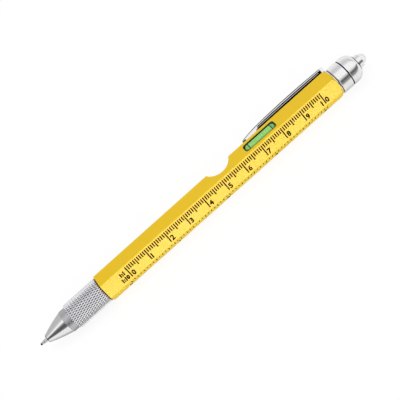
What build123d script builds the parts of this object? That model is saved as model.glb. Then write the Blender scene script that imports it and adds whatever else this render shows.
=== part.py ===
from build123d import *
from math import cos, degrees, radians, sin, sqrt, tan
import os

# Multi tool pen, lying on the flat under its spirit level, tip towards -X and lamp towards +X.
# Millimetres and degrees. The origin is the centre of the barrel's lower flat.

# Faces of the hexagon, as angles of their outward normals from +Y towards +Z
level_face = 90
clip_face = 30
pin_side = 0

# Clearances shared by all pieces
press_gap = 0.02
run_gap = 0.08
face_gap = 0.05
cut_overrun = 1.0

# Barrel: the tool section runs from the end of the lower bore to the upper end
tool_section_length = 70.4
across_flats = 11.2
barrel_sides = 6
barrel_edge_radius = 0.3
lower_bore_radius = 4.2
lower_bore_end_gap = 2.0
drill_point_angle = 118
end_face_radius = 5.5
end_chamfer_depth = 1.1
lower_edge_chamfer = 0.15
notch_web_share = 0.3704
notch_radius = 6.5
notch_depth = 3.47
notch_lip_radius = 0.3

# Spirit level
level_web_share = 0.2459
window_length = 15.3
window_width = 3.53
window_edge_chamfer = 0.12
vial_stand_proud = 0.5
vial_side_gap = 0.1
vial_wall = 0.42
vial_end_wall = 1.75
ring_from_window_end = 2.0
ring_width = 0.36
ring_thickness = 0.07
plug_spigot_length = 0.8
bubble_radius = 0.42
bubble_length = 2.6

# Twist mechanism
twist_angle = 180
refill_travel = 4.2
drive_tube_radius = 3.0
drive_tube_bore = 2.3
drive_tube_front_gap = 0.3
drive_tube_back_gap = 1.65
lower_bush_length = 10.4
circlip_radius = 3.85
circlip_width = 0.6
circlip_groove_depth = 0.25
circlip_mouth_angle = 70
cam_sleeve_length = 16.0
cam_sleeve_before_pin = 6.0
carrier_length = 13.0
carrier_refill_depth = 5.0
pin_radius = 0.6
pin_root = 1.2
pin_tip_gap = 0.15
pin_behind_refill = 4.0

# Refill
refill_radius = 1.175
refill_wall = 0.225
refill_length = 67.0
ball_standout = 3.55
ball_radius = 0.35
nib_end_radius = 0.45
nib_end_setback = 0.25
nib_cone_length = 2.1
nib_radius = 0.8
nib_length = 8.1
nib_shoulder_length = 0.6
nib_shank_length = 3.3
nib_channel_radius = 0.2
ink_air_length = 7.95

# Grip and nose
washer_thickness = 0.25
washer_radius = 4.9
grip_radius = 5.75
grip_length = 16.2
grip_edge_chamfer = 0.35
collar_radius = 4.9
collar_length = 2.9
collar_edge_chamfer = 0.12
cone_length = 10.0
cone_root_radius = 4.78
cone_mouth_radius = 1.7
cone_swell = 0.22
cone_lip_radius = 0.25
cone_spigot_radius = 3.8
cone_spigot_length = 5.9
cone_cavity_radius = 2.6
cone_cavity_depth = 1.75
cone_mouth_gap = 0.1
cone_mouth_bore_length = 4.45
guide_front_gap = 0.2
guide_back_gap = 0.3

# Pocket clip
clip_width = 4.0
clip_sheet = 0.6
clip_side_wall = 0.5
clip_arm_length = 41.05
clip_root_height = 2.3
clip_bow_height = 2.68
clip_bow_share = 0.4726
clip_neck_height = 2.3
clip_neck_share = 0.8039
clip_tip_height = 1.5
clip_tip_nose = 0.35
clip_nose_height = 0.75
clip_tip_half_width = 1.35
clip_foot_length = 0.7
clip_foot_gap = 0.05
clip_flange_gap = 0.3
clip_split_gap = 0.05
clip_root_length = 0.95
clip_ring_thickness = 0.3
clip_ring_radius = 5.45
clip_ring_gap = 0.06

# Screwdriver
holder_radius = 4.6
holder_wall = 0.65
holder_floor = 0.4
holder_flange_radius = 5.2
holder_flange_thickness = 0.2
holder_end_gap = 0.2
bit_across_flats = 4.0
bit_sides = 6
bit_length = 20.5
bit_end_length = 3.2
bit_neck_radius = 1.5
blade_thickness = 0.6
blade_tip_length = 1.2
cross_tip_radius = 0.4
cross_wing_thickness = 0.5
cross_flute_width = 1.5
cross_flute_rows = 2
bit_end_gap = 1.5
magnet_length = 1.8

# Head and lamp
head_radius = 5.85
head_edge_chamfer = 0.2
flange_gap = 0.1
head_base_length = 4.8
head_floor = 0.8
spigot_length = 9.7
spigot_floor_gap = 2.0
spigot_bore_radius = 3.0
spigot_edge_chamfer = 0.3
spigot_ring_from_flange = 5.5
ring_cord_radius = 0.22
groove_width = 0.6
neck_radius = 4.7
neck_length = 3.1
neck_ring_from_flange = 1.6
neck_ring_cord_radius = 0.25
sleeve_wall = 0.42
cell_radius = 3.4
cell_thickness = 2.15
cell_count = 3
cell_gap = 0.02
cell_can_edge = 0.12
contact_thickness = 0.12
contact_rise = 0.26
contact_hole_radius = 1.0
groove_gap = 0.05
head_groove_width = 0.2
cap_side_length = 2.0
cap_shoulder_length = 3.6
cap_shoulder_drop = 2.4
board_thickness = 0.8
board_radius = 4.6
led_radius = 1.5
led_flange_radius = 1.7
led_flange_thickness = 0.7
led_length = 4.8
lens_flange_radius = 3.25
lens_flange_thickness = 0.25
lens_gasket_radius = 3.3
lens_gasket_thickness = 0.35
lens_ring_radius = 2.75
lens_ring_length = 1.75
lens_ring_bore = 1.95
lens_shank_radius = 2.27
lens_shank_length = 1.3
dome_radius = 2.1
dome_height = 2.55
dome_wall = 0.28

# Places worked out from those sizes
axis_height = across_flats / 2
corner_radius = axis_height / cos(radians(180 / barrel_sides))
washer_step = washer_thickness + 2 * face_gap
nose_reach = washer_step + grip_length + collar_length + cone_length + ball_standout
pin_depth = refill_length - nose_reach + pin_behind_refill
cam_sleeve_depth = pin_depth - cam_sleeve_before_pin
lower_bore_depth = cam_sleeve_depth + cam_sleeve_length + lower_bore_end_gap
upper_bore_depth = holder_end_gap + holder_floor + magnet_length + bit_length + bit_end_gap
barrel_length = lower_bore_depth + tool_section_length
lower_end = -barrel_length / 2
upper_end = barrel_length / 2
pen_axis = Axis((0, 0, axis_height), (1, 0, 0))


# Direction out of the pen at an angle round its axis
def outward(angle):
    return Vector(0, cos(radians(angle)), sin(radians(angle)))


# Plane square to the pen: sketch X points out at the angle, so at 0 it is +Y and sketch Y is +Z
def cross_plane(station, angle=0):
    return Plane(origin=(station, 0, axis_height), x_dir=outward(angle), z_dir=(1, 0, 0))


# Plane that holds the pen's axis: sketch X runs along the pen, sketch Y out at the angle
def length_plane(angle):
    normal = Vector(1, 0, 0).cross(outward(angle))
    return Plane(origin=(0, 0, axis_height), x_dir=(1, 0, 0), z_dir=normal)


# Plane that faces outward at the angle, at a distance from the pen's axis
def side_plane(angle, distance):
    origin = Vector(0, 0, axis_height) + outward(angle) * distance
    return Plane(origin=origin, x_dir=(1, 0, 0), z_dir=outward(angle))


turning_plane = length_plane(level_face)


# A plain tube or disc about the pen's axis
def tube(label, start, end, outer_radius, inner_radius=0):
    with BuildPart() as piece:
        with BuildSketch(cross_plane(start)):
            Circle(outer_radius)
            if inner_radius > 0:
                Circle(inner_radius, mode=Mode.SUBTRACT)
        extrude(amount=end - start)
    piece.part.label = label
    return piece.part


# A rubber ring about the pen's axis
def rubber_ring(label, station, middle_radius, cord_radius):
    with BuildPart() as piece:
        with BuildSketch(turning_plane):
            with Locations((station, middle_radius)):
                Circle(cord_radius)
        revolve(axis=pen_axis)
    piece.part.label = label
    return piece.part


# The solid left between the bores, notch and window is shared out as three webs
lower_bore_end = lower_end + lower_bore_depth
drill_point_length = lower_bore_radius / tan(radians(drill_point_angle / 2))
lower_web_start = lower_bore_end + drill_point_length
upper_web_end = upper_end - upper_bore_depth
notch_half_length = sqrt(notch_radius**2 - (notch_radius - notch_depth) ** 2)
web_total = upper_web_end - lower_web_start - 2 * notch_half_length - window_length
notch_station = lower_web_start + notch_web_share * web_total + notch_half_length
level_station = upper_web_end - level_web_share * web_total - window_length / 2

# Barrel: hexagon, turned end chamfers, a bore from each end, opener notch and level window
upper_bore_radius = holder_radius + press_gap
vial_radius = window_width / 2 - vial_side_gap
vial_axis_radius = axis_height + vial_stand_proud - vial_radius - ring_thickness
pocket_depth = axis_height - vial_axis_radius + vial_radius + ring_thickness + press_gap
with BuildPart() as barrel:
    with BuildSketch(cross_plane(lower_end)):
        RegularPolygon(axis_height, barrel_sides, major_radius=False)
        fillet(vertices(), radius=barrel_edge_radius)
    extrude(amount=barrel_length)
    with BuildSketch(turning_plane):
        with BuildLine():
            Polyline(
                (upper_end - end_chamfer_depth, corner_radius),
                (upper_end, end_face_radius),
                (upper_end, corner_radius),
                close=True,
            )
        make_face()
        with BuildLine():
            Polyline(
                (lower_end + lower_edge_chamfer, corner_radius),
                (lower_end, corner_radius - lower_edge_chamfer),
                (lower_end, corner_radius),
                close=True,
            )
        make_face()
        with BuildLine():
            Polyline(
                (lower_end, 0),
                (lower_end, lower_bore_radius),
                (lower_bore_end, lower_bore_radius),
                (lower_bore_end + drill_point_length, 0),
                close=True,
            )
        make_face()
    revolve(axis=pen_axis, mode=Mode.SUBTRACT)
    with BuildSketch(cross_plane(upper_end)):
        Circle(upper_bore_radius)
    extrude(amount=-upper_bore_depth, mode=Mode.SUBTRACT)
    with BuildSketch(length_plane(clip_face)):
        with Locations((notch_station, axis_height - notch_depth + notch_radius)):
            Circle(notch_radius)
    extrude(amount=across_flats, both=True, mode=Mode.SUBTRACT)
    notch_wall = barrel.faces().filter_by(GeomType.CYLINDER).sort_by(SortBy.RADIUS)[-1]
    fillet(notch_wall.edges().filter_by(GeomType.LINE), radius=notch_lip_radius)
    with BuildSketch(side_plane(level_face, axis_height)):
        with Locations((level_station, 0)):
            SlotOverall(window_length, window_width)
    extrude(amount=-pocket_depth, mode=Mode.SUBTRACT)
    level_flat = barrel.faces().sort_by(Axis.Z)[-1]
    chamfer(level_flat.inner_wires().edges(), length=window_edge_chamfer)
barrel.part.label = "barrel"


# Stations of the grip and nose, counted out from the lower end of the barrel
washer_end = lower_end - face_gap
washer_start = washer_end - washer_thickness
grip_end = washer_start - face_gap
grip_start = grip_end - grip_length
collar_start = grip_start - collar_length
cone_mouth = collar_start - cone_length
cone_spigot_end = collar_start + cone_spigot_length
drive_tube_start = cone_spigot_end + drive_tube_front_gap
drive_tube_end = lower_bore_end - drive_tube_back_gap
ball_tip = cone_mouth - ball_standout
refill_end = ball_tip + refill_length
pin_station = refill_end + pin_behind_refill
spigot_seat_radius = cone_spigot_radius + press_gap
tube_seat_radius = drive_tube_radius + press_gap
bearing_radius = drive_tube_radius + run_gap

# Bearing of the drive tube, flush with the end of the barrel
lower_bush_end = lower_end + lower_bush_length
lower_bush_radius = lower_bore_radius - press_gap
lower_bush = tube("lower_bush", lower_end, lower_bush_end, lower_bush_radius, bearing_radius)

# Dark washer between the grip and the barrel
thrust_washer = tube("thrust_washer", washer_start, washer_end, washer_radius, bearing_radius)

# Knurled grip, plain at the crests of its knurl, with a stepped bore
with BuildPart() as grip_sleeve:
    with BuildSketch(turning_plane):
        with BuildLine():
            Polyline(
                (grip_start, spigot_seat_radius),
                (grip_start, grip_radius - grip_edge_chamfer),
                (grip_start + grip_edge_chamfer, grip_radius),
                (grip_end - grip_edge_chamfer, grip_radius),
                (grip_end, grip_radius - grip_edge_chamfer),
                (grip_end, tube_seat_radius),
                (drive_tube_start, tube_seat_radius),
                (drive_tube_start, spigot_seat_radius),
                close=True,
            )
        make_face()
    revolve(axis=pen_axis)
grip_sleeve.part.label = "grip_sleeve"

# Brushed collar in front of the knurl
with BuildPart() as grip_collar:
    with BuildSketch(turning_plane):
        with BuildLine():
            Polyline(
                (collar_start, spigot_seat_radius),
                (collar_start, collar_radius - collar_edge_chamfer),
                (collar_start + collar_edge_chamfer, collar_radius),
                (grip_start, collar_radius),
                (grip_start, spigot_seat_radius),
                close=True,
            )
        make_face()
    revolve(axis=pen_axis)
grip_collar.part.label = "grip_collar"

# Nose cone: slightly swollen outside, stepped bore, spigot through the collar into the grip
cone_bore_radius = refill_radius + cone_mouth_gap
cone_mouth_bore_radius = nib_radius + cone_mouth_gap
cone_bore_start = cone_mouth + cone_mouth_bore_length
cone_cavity_start = collar_start - cone_cavity_depth
cone_middle = (cone_mouth + collar_start) / 2
cone_middle_radius = (cone_mouth_radius + cone_root_radius) / 2 + cone_swell
with BuildPart() as nose_cone:
    with BuildSketch(turning_plane):
        with BuildLine():
            swell = ThreePointArc(
                (cone_mouth, cone_mouth_radius),
                (cone_middle, cone_middle_radius),
                (collar_start, cone_root_radius),
            )
            Polyline(
                swell @ 1,
                (collar_start, cone_spigot_radius),
                (cone_spigot_end, cone_spigot_radius),
                (cone_spigot_end, cone_cavity_radius),
                (cone_cavity_start, cone_cavity_radius),
                (cone_cavity_start, cone_bore_radius),
                (cone_bore_start, cone_bore_radius),
                (cone_bore_start, cone_mouth_bore_radius),
                (cone_mouth, cone_mouth_bore_radius),
                swell @ 0,
            )
        make_face()
    revolve(axis=pen_axis)
    mouth_edges = nose_cone.edges().filter_by(GeomType.CIRCLE).group_by(Axis.X)[0]
    fillet(mouth_edges.sort_by(SortBy.RADIUS)[-1], radius=cone_lip_radius)
nose_cone.part.label = "nose_cone"

# Plastic guide that keeps the refill on the axis inside the cone
refill_guide = tube(
    "refill_guide",
    cone_cavity_start + guide_front_gap,
    cone_spigot_end - guide_back_gap,
    cone_cavity_radius - press_gap,
    cone_bore_radius,
)

# Drive tube: fixed in the grip, with the straight slot of the pin and a groove for the circlip
circlip_start = lower_bush_end + face_gap
slot_width = 2 * (pin_radius + run_gap)
with BuildPart() as drive_tube:
    with BuildSketch(cross_plane(drive_tube_start)):
        Circle(drive_tube_radius)
        Circle(drive_tube_bore, mode=Mode.SUBTRACT)
    extrude(amount=drive_tube_end - drive_tube_start)
    with BuildSketch(cross_plane(circlip_start - press_gap)):
        Circle(drive_tube_radius + cut_overrun)
        Circle(drive_tube_radius - circlip_groove_depth, mode=Mode.SUBTRACT)
    extrude(amount=circlip_width + 2 * press_gap, mode=Mode.SUBTRACT)
    with BuildSketch(side_plane(pin_side, drive_tube_radius + cut_overrun)):
        with Locations((pin_station + refill_travel / 2, 0)):
            SlotCenterToCenter(refill_travel, slot_width)
    extrude(amount=-drive_tube_radius - cut_overrun, mode=Mode.SUBTRACT)
drive_tube.part.label = "drive_tube"

# Open ring that keeps the drive tube behind its bearing
circlip_bore_radius = drive_tube_radius - circlip_groove_depth + press_gap
circlip_mouth = radians(circlip_mouth_angle / 2)
with BuildPart() as tube_circlip:
    with BuildSketch(cross_plane(circlip_start)):
        Circle(circlip_radius)
        Circle(circlip_bore_radius, mode=Mode.SUBTRACT)
        with BuildLine():
            Polyline(
                (0, 0),
                (-2 * circlip_radius * sin(circlip_mouth), -2 * circlip_radius * cos(circlip_mouth)),
                (2 * circlip_radius * sin(circlip_mouth), -2 * circlip_radius * cos(circlip_mouth)),
                close=True,
            )
        make_face(mode=Mode.SUBTRACT)
    extrude(amount=circlip_width)
tube_circlip.part.label = "tube_circlip"

# Fixed sleeve whose helical slot turns the twist into the travel of the refill
cam_sleeve_radius = lower_bore_radius - press_gap
cam_sleeve_start = lower_end + cam_sleeve_depth
cam_middle_radius = (cam_sleeve_radius + bearing_radius) / 2
cam_end_angle = degrees((pin_radius + run_gap) / cam_middle_radius)
cam_lead = refill_travel * 360 / twist_angle
cam_end_travel = cam_lead * cam_end_angle / 360
cam_slot_start = -cam_end_angle
cam_slot_plane = cross_plane(pin_station - cam_end_travel, cam_slot_start)
cam_path = cam_slot_plane * Helix(cam_lead, refill_travel + 2 * cam_end_travel, cam_middle_radius)
with BuildPart() as cam_sleeve:
    with BuildSketch(cross_plane(cam_sleeve_start)):
        Circle(cam_sleeve_radius)
        Circle(bearing_radius, mode=Mode.SUBTRACT)
    extrude(amount=cam_sleeve_length)
    with BuildSketch(Plane(cam_path @ 0, x_dir=outward(cam_slot_start), z_dir=cam_path % 0)):
        Rectangle(drive_tube_radius, slot_width)
    sweep(path=cam_path, is_frenet=True, mode=Mode.SUBTRACT)
cam_sleeve.part.label = "cam_sleeve"

# Plug that holds the refill and slides in the drive tube
carrier_start = refill_end - carrier_refill_depth
carrier_radius = drive_tube_bore - run_gap
with BuildPart() as refill_carrier:
    with BuildSketch(cross_plane(carrier_start)):
        Circle(carrier_radius)
    extrude(amount=carrier_length)
    with BuildSketch(cross_plane(carrier_start)):
        Circle(refill_radius + press_gap)
    extrude(amount=carrier_refill_depth, mode=Mode.SUBTRACT)
    with BuildSketch(side_plane(pin_side, -pin_root)):
        with Locations((pin_station, 0)):
            Circle(pin_radius + press_gap)
    extrude(amount=pin_root + carrier_radius + cut_overrun, mode=Mode.SUBTRACT)
refill_carrier.part.label = "refill_carrier"

# Follower pin, out of the carrier through both slots
with BuildPart() as follower_pin:
    with BuildSketch(side_plane(pin_side, -pin_root)):
        with Locations((pin_station, 0)):
            Circle(pin_radius)
    extrude(amount=pin_root + cam_sleeve_radius - pin_tip_gap)
follower_pin.part.label = "follower_pin"

# Refill: ball, nib with its socket and ink channel, metal tube and ink
nib_start = ball_tip + nib_end_setback
nib_shoulder = nib_start + nib_length
refill_tube_start = nib_shoulder + nib_shoulder_length
nib_shank_end = refill_tube_start + nib_shank_length
nib_shank_radius = refill_radius - refill_wall - press_gap
with BuildPart() as refill_tip:
    with BuildSketch(turning_plane):
        with BuildLine():
            Polyline(
                (nib_start, 0),
                (nib_start, nib_end_radius),
                (nib_start + nib_cone_length, nib_radius),
                (nib_shoulder, nib_radius),
                (refill_tube_start, refill_radius),
                (refill_tube_start, nib_shank_radius),
                (nib_shank_end, nib_shank_radius),
                (nib_shank_end, 0),
                close=True,
            )
        make_face()
    revolve(axis=pen_axis)
    with BuildSketch(cross_plane(nib_start)):
        Circle(nib_channel_radius)
    extrude(amount=nib_shank_end - nib_start, mode=Mode.SUBTRACT)
    with Locations((ball_tip + ball_radius, 0, axis_height)):
        Sphere(ball_radius + press_gap, mode=Mode.SUBTRACT)
refill_tip.part.label = "refill_tip"

with BuildPart() as writing_ball:
    with Locations((ball_tip + ball_radius, 0, axis_height)):
        Sphere(ball_radius)
writing_ball.part.label = "writing_ball"

refill_tube = tube(
    "refill_tube", refill_tube_start, refill_end, refill_radius, refill_radius - refill_wall
)
ink = tube("ink", nib_shank_end, refill_end - ink_air_length, nib_shank_radius)

# Spirit level: a capsule with domed ends, lying lengthwise under the window
vial_axis = Axis((0, 0, axis_height + vial_axis_radius), (1, 0, 0))
vial_length = window_length - 2 * vial_side_gap
vial_start = level_station - vial_length / 2
vial_end = level_station + vial_length / 2
vial_bore_radius = vial_radius - vial_wall
vial_bore_start = vial_start + vial_end_wall
plug_shoulder = vial_end - vial_radius
plug_start = plug_shoulder - plug_spigot_length
plug_radius = vial_bore_radius - press_gap
vial_bottom = vial_axis_radius
with BuildPart() as level_vial:
    with BuildSketch(turning_plane):
        with BuildLine():
            dome = RadiusArc(
                (vial_start, vial_bottom),
                (vial_start + vial_radius, vial_bottom + vial_radius),
                vial_radius,
            )
            Polyline(
                dome @ 1,
                (plug_shoulder, vial_bottom + vial_radius),
                (plug_shoulder, vial_bottom + vial_bore_radius),
                (vial_bore_start, vial_bottom + vial_bore_radius),
                (vial_bore_start, vial_bottom),
                dome @ 0,
            )
        make_face()
    revolve(axis=vial_axis)
level_vial.part.label = "level_vial"

# Domed plug that closes the vial
with BuildPart() as vial_plug:
    with BuildSketch(turning_plane):
        with BuildLine():
            dome = RadiusArc(
                (plug_shoulder, vial_bottom + vial_radius),
                (vial_end, vial_bottom),
                vial_radius,
            )
            Polyline(
                dome @ 1,
                (plug_start, vial_bottom),
                (plug_start, vial_bottom + plug_radius),
                (plug_shoulder, vial_bottom + plug_radius),
                dome @ 0,
            )
        make_face()
    revolve(axis=vial_axis)
vial_plug.part.label = "vial_plug"

# Air bubble: a short round-ended cell at the top of the vial
bubble_axis_radius = vial_axis_radius + vial_bore_radius - 2 * press_gap - bubble_radius
bubble_axis = Axis((0, 0, axis_height + bubble_axis_radius), (1, 0, 0))
with BuildPart() as level_bubble:
    with BuildSketch(turning_plane):
        with Locations((level_station, bubble_axis_radius)):
            SlotOverall(bubble_length, 2 * bubble_radius)
        with Locations((level_station, bubble_axis_radius - bubble_radius)):
            Rectangle(bubble_length, 2 * bubble_radius, mode=Mode.SUBTRACT)
    revolve(axis=bubble_axis)
level_bubble.part.label = "level_bubble"

# Green liquid round the bubble
with BuildPart() as level_liquid:
    with BuildSketch(cross_plane(vial_bore_start)):
        with Locations((0, vial_axis_radius)):
            Circle(vial_bore_radius - press_gap)
    extrude(amount=plug_start - vial_bore_start)
    add(level_bubble.part, mode=Mode.SUBTRACT)
level_liquid.part.label = "level_liquid"

# Two dark rings round the vial
with BuildPart() as level_rings:
    ring_distance = window_length / 2 - ring_from_window_end
    for side in (-1, 1):
        ring_start = level_station + side * ring_distance - ring_width / 2
        with BuildSketch(cross_plane(ring_start)):
            with Locations((0, vial_axis_radius)):
                Circle(vial_radius + ring_thickness)
                Circle(vial_radius, mode=Mode.SUBTRACT)
        extrude(amount=ring_width)
level_rings.part.label = "level_rings"

# Pocket clip: stations from the free end to the ring at the end of the barrel
clip_root_start = upper_end - clip_root_length
clip_arm_end = clip_root_start - clip_split_gap
clip_tip = clip_arm_end - clip_arm_length
clip_neck = clip_arm_end - clip_neck_share * clip_arm_length
clip_bow = clip_arm_end - clip_bow_share * clip_arm_length
clip_half_width = clip_width / 2
clip_root_radius = axis_height + clip_root_height
clip_bow_radius = axis_height + clip_bow_height
clip_neck_radius = axis_height + clip_neck_height
clip_tip_radius = axis_height + clip_tip_height
clip_nose_radius = axis_height + clip_nose_height
clip_foot_radius = axis_height + clip_foot_gap
clip_flange_radius = axis_height + clip_flange_gap
with BuildPart() as clip_arm:
    with BuildSketch(length_plane(clip_face)):
        with BuildLine():
            bow = ThreePointArc(
                (clip_arm_end, clip_root_radius),
                (clip_bow, clip_bow_radius),
                (clip_neck, clip_neck_radius),
            )
            spoon = TangentArc(
                bow @ 1, (clip_tip + clip_tip_nose, clip_tip_radius), tangent=bow % 1
            )
            nose = ThreePointArc(
                spoon @ 1,
                (clip_tip, clip_nose_radius),
                (clip_tip + clip_foot_length, clip_foot_radius),
            )
            Polyline(
                nose @ 1,
                (clip_neck, clip_flange_radius),
                (clip_arm_end, clip_flange_radius),
                bow @ 0,
            )
        make_face()
    extrude(amount=clip_half_width, both=True)
    with BuildSketch(side_plane(clip_face, axis_height)):
        with BuildLine():
            tip_arc = ThreePointArc(
                (clip_tip + clip_tip_half_width, -clip_tip_half_width),
                (clip_tip, 0),
                (clip_tip + clip_tip_half_width, clip_tip_half_width),
            )
            Polyline(
                tip_arc @ 1,
                (clip_neck, clip_half_width),
                (clip_arm_end, clip_half_width),
                (clip_arm_end, -clip_half_width),
                (clip_neck, -clip_half_width),
                tip_arc @ 0,
            )
        make_face()
    extrude(amount=across_flats, mode=Mode.INTERSECT)
    with BuildSketch(length_plane(clip_face)):
        with BuildLine():
            inner_bow = ThreePointArc(
                (clip_arm_end, clip_root_radius - clip_sheet),
                (clip_bow, clip_bow_radius - clip_sheet),
                (clip_neck, clip_neck_radius - clip_sheet),
            )
            Polyline(
                inner_bow @ 1,
                (clip_neck, axis_height),
                (clip_arm_end, axis_height),
                inner_bow @ 0,
            )
        make_face()
    extrude(amount=clip_half_width - clip_side_wall, both=True, mode=Mode.SUBTRACT)
clip_arm.part.label = "clip_arm"

# Root of the clip: a box end, an upright tab and the ring that the bit holder clamps
clip_ring_end = upper_end + clip_ring_thickness
clip_ring_bore_radius = holder_radius + clip_ring_gap
clip_tab_length = clip_root_radius - clip_ring_radius + clip_ring_thickness
with BuildPart() as clip_root:
    with BuildSketch(cross_plane(upper_end)):
        Circle(clip_ring_radius)
        with PolarLocations(clip_root_radius - clip_tab_length / 2, 1, start_angle=clip_face):
            Rectangle(clip_tab_length, clip_width)
        Circle(clip_ring_bore_radius, mode=Mode.SUBTRACT)
    extrude(amount=clip_ring_thickness)
    with BuildSketch(length_plane(clip_face)):
        with BuildLine():
            Polyline(
                (clip_root_start, clip_foot_radius),
                (clip_root_start, clip_root_radius),
                (upper_end, clip_root_radius),
                (upper_end, clip_foot_radius),
                close=True,
            )
        make_face()
    extrude(amount=clip_half_width, both=True)
    with BuildSketch(length_plane(clip_face)):
        with BuildLine():
            Polyline(
                (clip_root_start, axis_height),
                (clip_root_start, clip_root_radius - clip_sheet),
                (upper_end, clip_root_radius - clip_sheet),
                (upper_end, axis_height),
                close=True,
            )
        make_face()
    extrude(amount=clip_half_width - clip_side_wall, both=True, mode=Mode.SUBTRACT)
clip_root.part.label = "clip_root"

# Bit holder: socket below, open cup above for the head, flange over the ring of the clip
holder_start = upper_end - upper_bore_depth + holder_end_gap
holder_end = clip_ring_end + holder_flange_thickness
socket_floor = holder_start + holder_floor
flange_start = holder_end + flange_gap
spigot_start = flange_start - spigot_length
socket_end = spigot_start - spigot_floor_gap
cup_radius = holder_radius - holder_wall
with BuildPart() as bit_holder:
    with BuildSketch(turning_plane):
        with BuildLine():
            Polyline(
                (holder_start, 0),
                (holder_start, holder_radius),
                (clip_ring_end, holder_radius),
                (clip_ring_end, holder_flange_radius),
                (holder_end, holder_flange_radius),
                (holder_end, cup_radius),
                (socket_end, cup_radius),
                (socket_end, 0),
                close=True,
            )
        make_face()
    revolve(axis=pen_axis)
    with BuildSketch(cross_plane(socket_floor)):
        RegularPolygon(bit_across_flats / 2 + press_gap, bit_sides, major_radius=False)
    extrude(amount=socket_end - socket_floor, mode=Mode.SUBTRACT)
bit_holder.part.label = "bit_holder"

# Magnet at the bottom of the socket
magnet_end = socket_floor + magnet_length
bit_magnet = tube("bit_magnet", socket_floor, magnet_end, bit_across_flats / 2 - press_gap)

# Double-ended bit: cross below, slot blade above, round necks between them and the hexagon
bit_start = magnet_end
bit_end = bit_start + bit_length
bit_corner_radius = bit_across_flats / 2 / cos(radians(180 / bit_sides))
with BuildPart() as driver_bit:
    with BuildSketch(cross_plane(bit_start)):
        RegularPolygon(bit_across_flats / 2, bit_sides, major_radius=False)
    extrude(amount=bit_length)
    with BuildSketch(turning_plane):
        with BuildLine():
            Polyline(
                (bit_start, cross_tip_radius),
                (bit_start + bit_end_length, bit_neck_radius),
                (bit_start + bit_end_length, bit_corner_radius),
                (bit_start, bit_corner_radius),
                close=True,
            )
        make_face()
        with BuildLine():
            Polyline(
                (bit_end - bit_end_length, bit_neck_radius),
                (bit_end, bit_neck_radius),
                (bit_end, bit_corner_radius),
                (bit_end - bit_end_length, bit_corner_radius),
                close=True,
            )
        make_face()
    revolve(axis=pen_axis, mode=Mode.SUBTRACT)
    with BuildSketch(turning_plane):
        for side in (-1, 1):
            with BuildLine():
                Polyline(
                    (bit_end - bit_end_length, side * bit_neck_radius),
                    (bit_end - blade_tip_length, side * blade_thickness / 2),
                    (bit_end, side * blade_thickness / 2),
                    (bit_end, side * bit_neck_radius),
                    close=True,
                )
            make_face()
    extrude(amount=bit_across_flats, both=True, mode=Mode.SUBTRACT)
    flute_spacing = cross_wing_thickness + cross_flute_width
    with BuildSketch(cross_plane(bit_start)):
        with GridLocations(flute_spacing, flute_spacing, cross_flute_rows, cross_flute_rows):
            Rectangle(cross_flute_width, cross_flute_width)
    extrude(amount=bit_end_length, mode=Mode.SUBTRACT)
driver_bit.part.label = "driver_bit"

# Fixed half of the head: spigot with a rubber ring, flange, battery well and neck
flange_end = flange_start + head_base_length
well_floor = flange_start + head_floor
spigot_radius = cup_radius - run_gap
neck_end = flange_end + neck_length
cap_bore_radius = neck_radius + run_gap
cell_bore_radius = cell_radius + run_gap
sleeve_radius = cell_bore_radius + sleeve_wall
spigot_ring_station = flange_start - spigot_ring_from_flange
spigot_ring_middle = cup_radius - groove_gap - ring_cord_radius
spigot_groove_radius = spigot_ring_middle - ring_cord_radius - press_gap
neck_ring_station = flange_end + neck_ring_from_flange
neck_ring_middle = cap_bore_radius - groove_gap - neck_ring_cord_radius
neck_groove_radius = neck_ring_middle - neck_ring_cord_radius - press_gap
half_groove = groove_width / 2
with BuildPart() as head_base:
    with BuildSketch(turning_plane):
        with BuildLine():
            Polyline(
                (spigot_start, spigot_bore_radius),
                (spigot_start, spigot_radius - spigot_edge_chamfer),
                (spigot_start + spigot_edge_chamfer, spigot_radius),
                (spigot_ring_station - half_groove, spigot_radius),
                (spigot_ring_station - half_groove, spigot_groove_radius),
                (spigot_ring_station + half_groove, spigot_groove_radius),
                (spigot_ring_station + half_groove, spigot_radius),
                (flange_start, spigot_radius),
                (flange_start, head_radius - head_edge_chamfer),
                (flange_start + head_edge_chamfer, head_radius),
                (flange_end - head_edge_chamfer, head_radius),
                (flange_end, head_radius - head_edge_chamfer),
                (flange_end, neck_radius),
                (neck_ring_station - half_groove, neck_radius),
                (neck_ring_station - half_groove, neck_groove_radius),
                (neck_ring_station + half_groove, neck_groove_radius),
                (neck_ring_station + half_groove, neck_radius),
                (neck_end, neck_radius),
                (neck_end, sleeve_radius + press_gap),
                (well_floor, sleeve_radius + press_gap),
                (well_floor, 0),
                (flange_start, 0),
                (flange_start, spigot_bore_radius),
                close=True,
            )
        make_face()
    revolve(axis=pen_axis)
head_base.part.label = "head_base"

spigot_o_ring = rubber_ring(
    "spigot_o_ring", spigot_ring_station, spigot_ring_middle, ring_cord_radius
)
cap_o_ring = rubber_ring(
    "cap_o_ring", neck_ring_station, neck_ring_middle, neck_ring_cord_radius
)

# Dished contact under the cells, insulating sleeve and the cells themselves
contact_start = well_floor + press_gap
contact_end = contact_start + contact_thickness + contact_rise
with BuildPart() as battery_contact:
    with BuildSketch(turning_plane):
        with BuildLine():
            Polyline(
                (contact_start, cell_radius),
                (contact_start + contact_thickness, cell_radius),
                (contact_end, contact_hole_radius),
                (contact_end - contact_thickness, contact_hole_radius),
                close=True,
            )
        make_face()
    revolve(axis=pen_axis)
battery_contact.part.label = "battery_contact"

battery_sleeve = tube(
    "battery_sleeve", well_floor, neck_end, sleeve_radius, cell_bore_radius
)

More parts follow.
